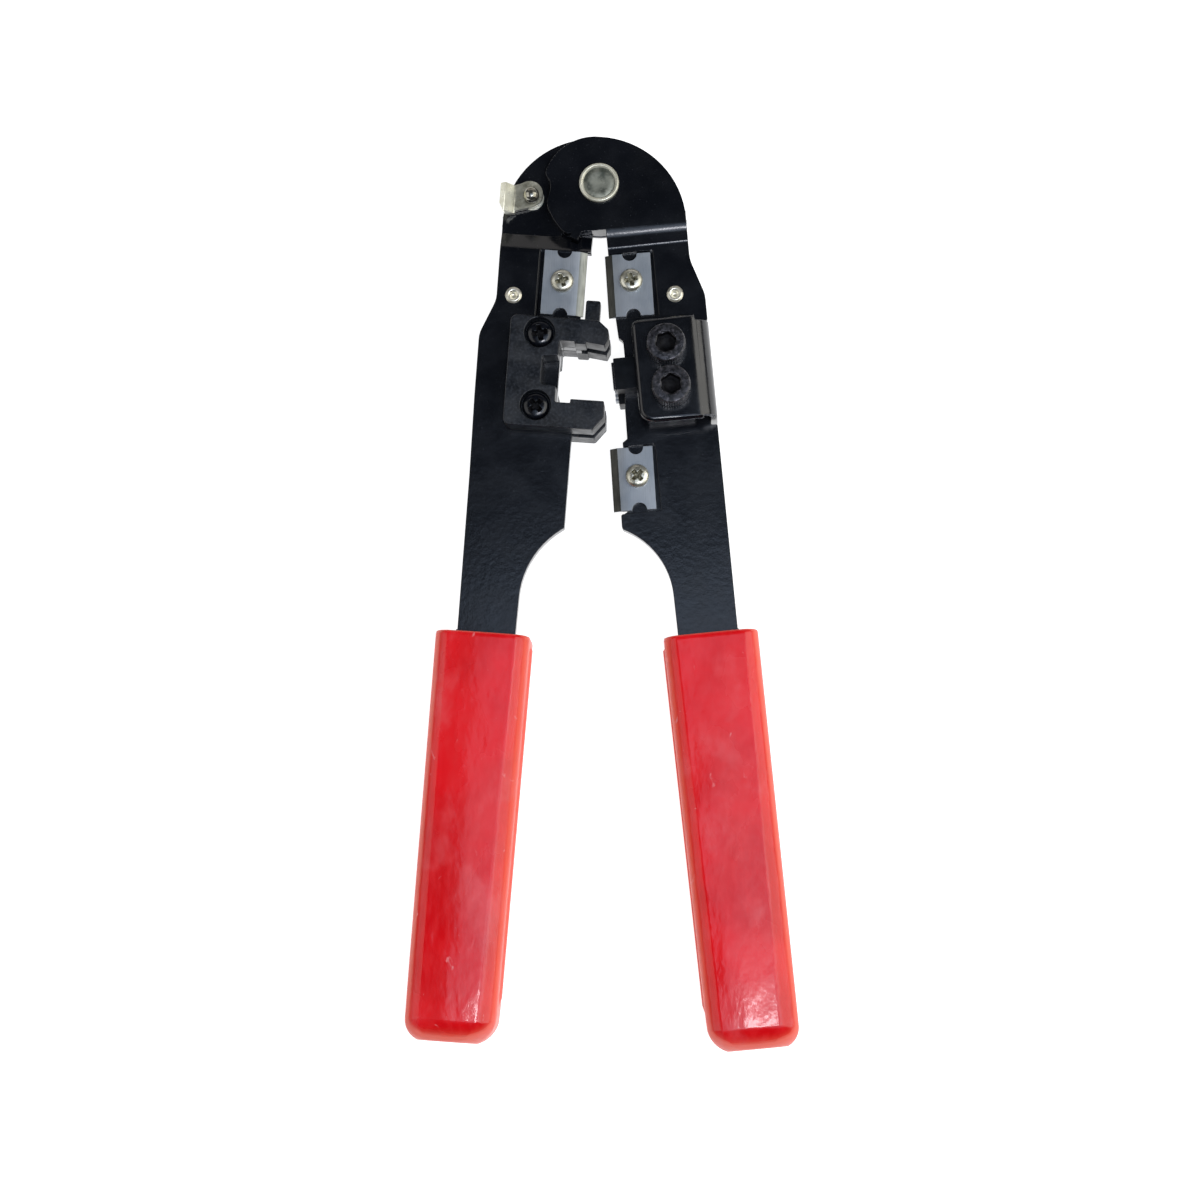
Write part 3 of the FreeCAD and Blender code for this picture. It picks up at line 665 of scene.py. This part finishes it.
def grip(node, inner_side):
    """Dipped sleeve: creased faces, a moulded seam along the inner side, an open mouth and a rounded
    closed end. inner_side is the sign of X on the side that faces the other grip."""
    low, high = arm_box(node)
    length = high.y - low.y
    half_depth = (high.z - low.z) / 2 - GRIP_CROWN - 0.05
    mouth_left, mouth_right = arm_width(node, high.y - 0.1, high.y)
    end_left, end_right = arm_width(node, low.y, low.y + GRIP_CAD_CORNER)
    inner_corner, outer_corner = GRIP_END_CORNERS
    corners = {inner_side: inner_corner, -inner_side: outer_corner}
    lip = 3.5
    stations = [0.7, 1.2, SEAM_START, SEAM_START + 0.5, lip]
    stations += [lip + (length - lip - GRIP_END_BAND - 0.15) * k / 44 for k in range(1, 45)]
    stations += [length - GRIP_END_BAND * math.cos(math.pi / 2 * k / 16) for k in range(0, 16)]

    def drawn_in(from_end, radius):
        """How far a side has come in at its rounded corner, this far from the closed end."""
        if from_end >= radius:
            return 0.0
        return radius - math.sqrt(max(radius ** 2 - (radius - from_end) ** 2, 0.0))

    def fallen(from_end):
        """How far the flat faces have come down, this far from the closed end."""
        sag = GRIP_SAG * max(0.0, 1 - (from_end - GRIP_END_BAND) / GRIP_SAG_LENGTH) ** 2
        if from_end >= GRIP_END_BAND:
            return sag
        run = GRIP_END_BAND / (1 - math.sin(GRIP_BREAK))
        rise = math.sqrt(max(1 - (1 - from_end / run) ** 2, 0.0)) / math.cos(GRIP_BREAK)
        return GRIP_SAG + GRIP_END_DROP * (1 - rise)

    def ring(s, inset=0.0):
        """The sleeve's section s below its mouth, or the same section drawn in by inset."""
        along = s / length
        left = mouth_left + (end_left - mouth_left) * along
        right = mouth_right + (end_right - mouth_right) * along
        middle_x = (left + right) / 2
        width = (right - left) / 2 - 0.02 - inset
        sides = {side: width - drawn_in(length - s, radius) for side, radius in corners.items()}
        depth = half_depth - fallen(length - s) - inset
        bands = [max(band + growth * along - inset, 0.4) for band, growth in GRIP_BANDS]
        points = []
        for x, z in grip_section(sides[-1], sides[1], depth, *bands):
            if x * inner_side > 0.8 * width and abs(z) <= SEAM_HALF + 0.01 and not inset:
                proud = SEAM_PROUD if SEAM_START + 0.2 < s < length - SEAM_STOP else 0.0
                x += inner_side * proud * (1.0 if abs(z) < SEAM_HALF - 0.1 else 0.5)
            if not inset:
                dent = noise.noise(Vector((x * 0.09, s * 0.045, z * 0.1 + 3.0 * inner_side)))
                z += dent * 0.1 * math.copysign(1.0, z) * min(1.0, s / 6)
            points.append(Vector((middle_x + x, high.y - s, z)))
        return points

    mouth = ring(GRIP_MOUTH, GRIP_WALL + 0.8)
    rings = [[sum(mouth, Vector()) / len(mouth)], mouth]
    rings += [ring(GRIP_MOUTH - 0.8, GRIP_WALL), ring(0.6, GRIP_WALL), ring(0.15, GRIP_WALL - 0.25)]
    rings += [ring(0.0, GRIP_WALL - 0.7), ring(0.0, 0.45), ring(0.15, 0.12)]
    rings += [ring(s) for s in stations]
    end = rings[-1]
    rings.append([sum(end, Vector()) / len(end) - Vector((0, GRIP_END_BAND * 0.002, 0))])
    return rings_to_mesh(rings)


# ---- fasteners ----
def cross_cutters(reach, width, top, depth):
    """Two tapered bars that cut a cross recess."""
    cutters = []
    for turn in (0, 90):
        wide, narrow = [
            [(sx * length, sy * half) for sx, sy in ((-1, -1), (1, -1), (1, 1), (-1, 1))]
            for length, half in ((reach, width / 2), (reach * 0.42, width * 0.32))
        ]
        bar = prism(narrow, wide, top - depth, top + 0.4)
        bmesh.ops.rotate(bar, verts=bar.verts, matrix=Matrix.Rotation(math.radians(turn), 3, "Z"))
        cutters.append(bar)
    return cutters


def pan_head_screw(head_radius, seat, top, shank_radius, tip):
    """Pan head: a short upright rim, a low dome and a broad cross recess in the second finish."""
    height = top - seat
    shoulder = seat + 0.5 * height
    profile = [(0, tip), (shank_radius - 0.3, tip), (shank_radius, tip + 0.3), (shank_radius, seat)]
    profile += [(head_radius - 0.15, seat), (head_radius, seat + 0.15)]
    profile += dome(head_radius, shoulder, top, 0.5)
    reach = head_radius * 0.68
    head = carved(lathe(profile, 56), cross_cutters(reach, head_radius * 0.4, top, height * 0.85))
    rim = shoulder + 0.7 * (top - shoulder)
    return second_finish_where(head, lambda p: seat + 0.05 < p.z < rim and p.to_2d().length < reach)


def cap_screw(head_radius, seat, top, shank_radius, tip, socket_half):
    """Socket-head cap screw with a straight knurl and a countersunk hexagon socket."""
    knurl_top = top - 0.75
    profile = [(0, tip), (shank_radius - 0.4, tip), (shank_radius, tip + 0.4), (shank_radius, seat)]
    profile += [(head_radius - 0.25, seat), (head_radius, seat + 0.3), (head_radius, knurl_top)]
    profile += [(head_radius - 0.12, knurl_top + 0.12), (head_radius - 0.14, top - 0.4)]
    profile += arc((head_radius - 0.5, top - 0.36), 0.36, 10, 90, 4)
    profile += [(socket_half * 1.2 + 0.12, top), (0, top)]
    head = lathe(profile, 96, (seat + 0.25, knurl_top + 0.01, 0.2))
    corner = socket_half / math.cos(math.radians(30))
    turns = [math.radians(60 * k) for k in range(6)]
    hexagon = [(corner * math.cos(t), corner * math.sin(t)) for t in turns]
    socket = prism(hexagon, hexagon, top - 2.6, top + 0.5)
    drill = socket_half * 0.75
    drilled = lathe([(0, top - 3.2), (drill, top - 2.7), (drill, top - 2.4), (0, top - 2.4)], 32)
    mouth = [(0, top - 0.22), (corner * 0.93, top - 0.22), (corner * 1.06, top + 0.1), (0, top + 0.1)]
    head = carved(head, [socket, drilled, lathe(mouth, 48)])
    return second_finish_where(head, lambda p: seat < p.z < top - 0.25 and p.to_2d().length < corner)


def tubular_rivet(low, high):
    """Spring pin: a stem with a rolled-over collar and a dimple in each end."""
    collar, top = (high.x - low.x) / 2, high.z
    profile = [(0, low.z + 0.6), (0.5, low.z + 0.6), (0.62, low.z + 0.1), (0.75, low.z)]
    profile += [(PIN_RADIUS - 0.2, low.z), (PIN_RADIUS, low.z + 0.2), (PIN_RADIUS, PLATE_FRONT)]
    profile += [(collar, PLATE_FRONT), (collar, top - 0.3)]
    profile += arc((collar - 0.55, top - 0.45), 0.45, 20, 150, 6)
    profile += [(0.62, top - 0.4), (0.5, top - 0.75), (0, top - 0.8)]
    return lathe(profile, 56)


def pivot_rivet(low, high):
    """Main pivot: a broad low head with a bright rolled rim round a dished face."""
    head, shank, seat, top = (high.x - low.x) / 2, 3.0, 3.2, high.z
    groove, groove_low, groove_high = 2.3, -4.6, -3.7
    profile = [(0, low.z), (shank - 0.4, low.z), (shank, low.z + 0.4), (shank, groove_low)]
    profile += [(groove, groove_low), (groove, groove_high), (shank, groove_high)]
    profile += [(shank, seat), (head, seat), (head, top - 0.5)]
    profile += arc((head - 0.4, top - 0.4), 0.4, 10, 110, 6)
    profile += [(head - 0.8, top - 0.14), (PIVOT_FACE + 0.04, top - 0.5), (PIVOT_FACE - 0.12, top - 0.5)]
    profile += [(PIVOT_FACE - 0.3, top - 0.36), (2.2, top - 0.4), (1.2, top - 0.45), (0, top - 0.46)]
    rivet = lathe(profile, 96)
    return second_finish_where(rivet, lambda p: p.z > seat + 0.3 and p.to_2d().length < PIVOT_FACE)


def domed_pin(low, high):
    """Latch pin: a plain shank under a domed, slightly pointed head."""
    head, foot = (high.x - low.x) / 2, 1.75
    profile = [(0, low.z), (PIN_RADIUS, low.z), (PIN_RADIUS, foot), (head, foot)]
    profile += dome(head, foot + 1.5, high.z, 0.8)
    return lathe(profile, 56)


# ---- return spring ----
def spring_points(left_pin, right_pin, z_left, z_right):
    """Left leg, helix and right leg of the torsion spring, about the pivot in the row's directions.
    Each leg presses on the inner side of its pin."""
    reach = PIN_RADIUS + WIRE + 0.02
    legs = []
    for pin, body, side in ((left_pin, "left_arm", 1), (right_pin, "right_arm", -1)):
        touch = Vector((pin.x + side * reach, pin.y - LEG_OVERRUN, 0))
        touch.rotate(Matrix.Rotation(LEANS[body], 3, "Z"))
        direction = math.atan2(touch.y, touch.x)
        swing = math.acos(COIL / touch.length)
        legs.append((touch, direction - side * swing))
    (left_touch, start), (right_touch, end) = legs
    sweep = (end - start) % (2 * math.pi) - 2 * math.pi * COIL_TURNS
    steps = 48 * COIL_TURNS
    coil = []
    for k in range(steps + 1):
        t = k / steps
        turn = start + sweep * t
        coil.append(Vector((COIL * math.cos(turn), COIL * math.sin(turn), z_left + (z_right - z_left) * t)))
    left_end = left_touch + Vector((0, 0, z_left))
    right_end = right_touch + Vector((0, 0, z_right))
    left_leg = [left_end.lerp(coil[0], k / 12) for k in range(12)]
    right_leg = [coil[-1].lerp(right_end, k / 12) for k in range(1, 13)]
    return left_leg + coil + right_leg


# ---- building ----
def add_grips(finishes):
    for body, node, inner_side in (("left_arm", "left_grip", 1), ("right_arm", "right_grip", -1)):
        sleeve = grip(node, inner_side)
        add_piece(node + "_sleeve", sleeve, body, finishes["red_vinyl"], [node])


def add_blades(finishes):
    """The CAD's blades, with their ground bevels in a second finish; the right arm's bevels get a far darker
    copy of the steel, painted shade. The cutter sits a little askew.
    """
    for node, body, edge, turn in (
        ("left_strip_blade", "left_arm", "ground_edge", 0.0),
        ("right_strip_blade", "right_arm", "shaded_edge", 0.0),
        ("wire_cutter_blade", "right_arm", "shaded_edge", -1.7),
    ):
        blade = arm_mesh(node)
        for face in blade.faces:
            leans_forwards = 0.2 < face.normal.z < 0.98
            face.material_index = int(leans_forwards)
        middle = centres(node)[0].to_3d()
        askew = Matrix.Rotation(math.radians(turn), 3, "Z")
        bmesh.ops.rotate(blade, verts=blade.verts, cent=middle, matrix=askew)
        piece = add_piece(
            node + "_ground", blade, body, finishes["blade_steel"], [node],
            second=finishes[edge],
        )
        soften(piece, 0.05, 1)


def add_pan_screws(finishes):
    # finish, recess's finish, slot, height of the head, radius of the shank
    # The cross recess takes a darker finish than the head: painted shade.
    blade_screw = ("screw_nickel", "shaded_recess", "nickel_plate", 1.7, PIN_RADIUS)
    die_screw = ("black_screw", "black_recess", "black_oxide", 1.9, 2.0)
    for node, body, kind, turn in (
        ("left_blade_screw", "left_arm", blade_screw, 24),
        ("right_blade_screws", "right_arm", blade_screw, 8),
        ("die_screws", "left_arm", die_screw, 15),
    ):
        finish, recess, slot, head_height, shank = kind
        low, high = arm_solids(node)[0]
        screw = pan_head_screw((high.x - low.x) / 2, high.z - head_height, high.z, shank, low.z)
        group = copies(screw, centres(node), turn, 31)
        add_piece(node + "_fine", group, body, finishes[finish], [node], 0.05, finishes[recess])


def add_cap_screws(finishes):
    low, high = arm_solids("punch_screws")[0]
    bracket_front, shank, socket_half = 10.0, 2.5, 2.0
    screw = cap_screw((high.x - low.x) / 2, bracket_front, high.z - 0.01, shank, low.z, socket_half)
    group = copies(screw, centres("punch_screws"), 12, 17)
    # The sockets take a darker finish than the head: painted shade.
    add_piece(
        "punch_cap_screws", group, "right_arm", finishes["black_oxide"], ["punch_screws"],
        0.06, finishes["black_recess"],
    )


def add_pins(finishes):
    for node, body in (("left_spring_pin", "left_arm"), ("right_spring_pin", "right_arm")):
        rivet = copies(tubular_rivet(*arm_box(node)), centres(node))
        add_piece(node + "_rivet", rivet, body, finishes["nickel_plate"], [node])

    pin = copies(domed_pin(*arm_box("latch_pin")), centres("latch_pin"))
    add_piece("latch_pin_dome", pin, "left_arm", finishes["pin_steel"], ["latch_pin"])

    rivet = pivot_rivet(*arm_box("pivot_pin"))
    add_piece(
        "pivot_rivet", rivet, "left_arm", finishes["pivot_rim"], ["pivot_pin"],
        second=finishes["dull_nickel"],
    )


def add_return_spring(finishes):
    """The spring's wire at rest, its left leg against the left arm's pin and its right leg against the right
    arm's pin. It is put on no body.
    """
    low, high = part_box("return_spring")
    z_left = (high.z - PIVOT.z) / MM - WIRE - 0.15
    z_right = (low.z - PIVOT.z) / MM + WIRE + 0.15
    points = spring_points(centres("left_spring_pin")[0], centres("right_spring_pin")[0], z_left, z_right)
    spring = add_piece(
        "return_spring_wire", tube(points, WIRE), "left_arm", finishes["spring_steel"],
        ["return_spring"], blended=True,
    )
    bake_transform(spring)


def finish_nodes(finishes):
    """The CAD nodes that stay: finish, width of the rounding and its segments."""
    plan = {
        "left_arm_plate": ("black_enamel", 0.1, 2),
        "right_arm_plate": ("black_enamel", 0.1, 2),
        "punch_bracket": ("black_enamel", 0.15, 2),
        "die_front_half": ("die_black", 0.2, 2),
        "die_rear_half": ("die_black", 0.2, 2),
        "punch_front_block": ("punch_black", 0.15, 2),
        "punch_rear_block": ("punch_black", 0.15, 2),
        "strain_relief_bar": ("black_oxide", 0.1, 2),
        "contact_teeth": ("blade_steel", 0.05, 1),
        "die_nuts": ("black_oxide", 0.2, 2),
        "pivot_clip": ("spring_steel", 0.08, 2),
        "pivot_washer": ("nickel_plate", 0.03, 1),
        "latch_washer": ("nickel_plate", 0.03, 1),
        "latch_lever": ("latch_plate", 0.15, 2),
    }
    for node, (finish, rounding, segments) in plan.items():
        clamped = node == "latch_lever"
        refine_node(node, finishes[finish], rounding, segments, clamped)


# ---- stage ----
def add_camera():
    """Camera over the front of the tool, aimed at AIM, with the head at the top of the picture."""
    tilt, swing = math.radians(VIEW_TILT), math.radians(VIEW_SWING)
    back = Vector((math.sin(swing), -math.sin(tilt) * math.cos(swing), math.cos(tilt) * math.cos(swing)))
    right = (-back).cross(Vector((0, 1, 0))).normalized()
    up = right.cross(-back)
    data = bpy.data.cameras.new("camera")
    data.lens = LENS
    data.sensor_width = 36.0
    data.clip_start = 0.01
    data.clip_end = 50.0
    camera = bpy.data.objects.new("camera", data)
    turn = Matrix((right, up, back)).transposed().to_4x4()
    place = PIVOT + (AIM + back * VIEW_DISTANCE) * MM
    camera.matrix_world = Matrix.Translation(place) @ turn
    bpy.context.scene.collection.objects.link(camera)
    bpy.context.scene.camera = camera


def add_softbox(name, place, target, size, power, tint):
    """Rectangular area light that faces a target: metres and watts."""
    data = bpy.data.lights.new(name, "AREA")
    data.shape = "RECTANGLE"
    data.size, data.size_y = size
    data.energy = power
    data.color = tint
    light = bpy.data.objects.new(name, data)
    light.location = place
    light.rotation_euler = (Vector(target) - Vector(place)).to_track_quat("-Z", "Y").to_euler()
    bpy.context.scene.collection.objects.link(light)


def add_floor():
    """Plain pale floor just under the tool."""
    paint = Finish("pale_floor", Roughness=0.9, Specular_IOR_Level=0.0, Emission_Color=(1, 1, 1, 1))
    paint.shader.inputs["Base Color"].default_value = (0.5, 0.5, 0.5, 1)
    paint.shader.inputs["Emission Strength"].default_value = 0.92
    bm = bmesh.new()
    bmesh.ops.create_grid(bm, x_segments=1, y_segments=1, size=6.0)
    mesh = bpy.data.meshes.new("floor")
    bm.to_mesh(mesh)
    bm.free()
    mesh.materials.append(paint.material)
    floor = bpy.data.objects.new("floor", mesh)
    floor.location.z = cad_low.z - 0.1 * MM
    bpy.context.scene.collection.objects.link(floor)


def set_world():
    """Dim surroundings for reflections, and a pale backdrop where the camera looks past the floor."""
    world = bpy.data.worlds.new("studio")
    world.use_nodes = True
    tree = world.node_tree
    dim = tree.nodes["Background"]
    dim.inputs["Color"].default_value = (0.75, 0.85, 1.0, 1)
    dim.inputs["Strength"].default_value = 0.02
    pale = tree.nodes.new("ShaderNodeBackground")
    pale.inputs["Color"].default_value = (0.93, 0.93, 0.93, 1)
    chooser = tree.nodes.new("ShaderNodeMixShader")
    path = tree.nodes.new("ShaderNodeLightPath")
    tree.links.new(path.outputs["Is Camera Ray"], chooser.inputs["Fac"])
    tree.links.new(dim.outputs["Background"], chooser.inputs[1])
    tree.links.new(pale.outputs["Background"], chooser.inputs[2])
    tree.links.new(chooser.outputs["Shader"], tree.nodes["World Output"].inputs["Surface"])
    bpy.context.scene.world = world


def light_stage():
    """Soft boxes on both sides, a cool panel overhead, a dim warm one beyond the head and a lamp that
    shines on the grips' closed ends."""
    add_softbox("right_softbox", (1.05, -0.05, 0.95), (0, 0, 0), (1.4, 1.5), 17.0, (1.0, 0.98, 0.92))
    add_softbox("left_softbox", (-1.05, -0.05, 0.95), (0, 0, 0), (1.4, 1.2), 6.2, (1.0, 0.98, 0.95))
    add_softbox("top_panel", (0.3, -0.35, 1.35), (0.3, -0.35, 0), (0.9, 1.1), 5.2, (0.62, 0.76, 1.0))
    add_softbox("far_panel", (0.0, 1.25, 0.55), (0, 0, 0), (1.6, 0.7), 2.3, (1.0, 0.95, 0.92))
    add_softbox("lamp", (0.13, -0.25, 1.0), (0.1, -0.1, 0), (0.2, 0.14), 2.1, (0.95, 0.95, 1.0))


def main():
    finishes = make_finishes()
    finish_nodes(finishes)
    for add_pieces in (add_grips, add_blades, add_pan_screws, add_cap_screws, add_pins, add_return_spring):
        add_pieces(finishes)
    add_floor()
    set_world()
    light_stage()
    add_camera()
    bpy.context.scene.view_settings.view_transform = "Standard"


main()
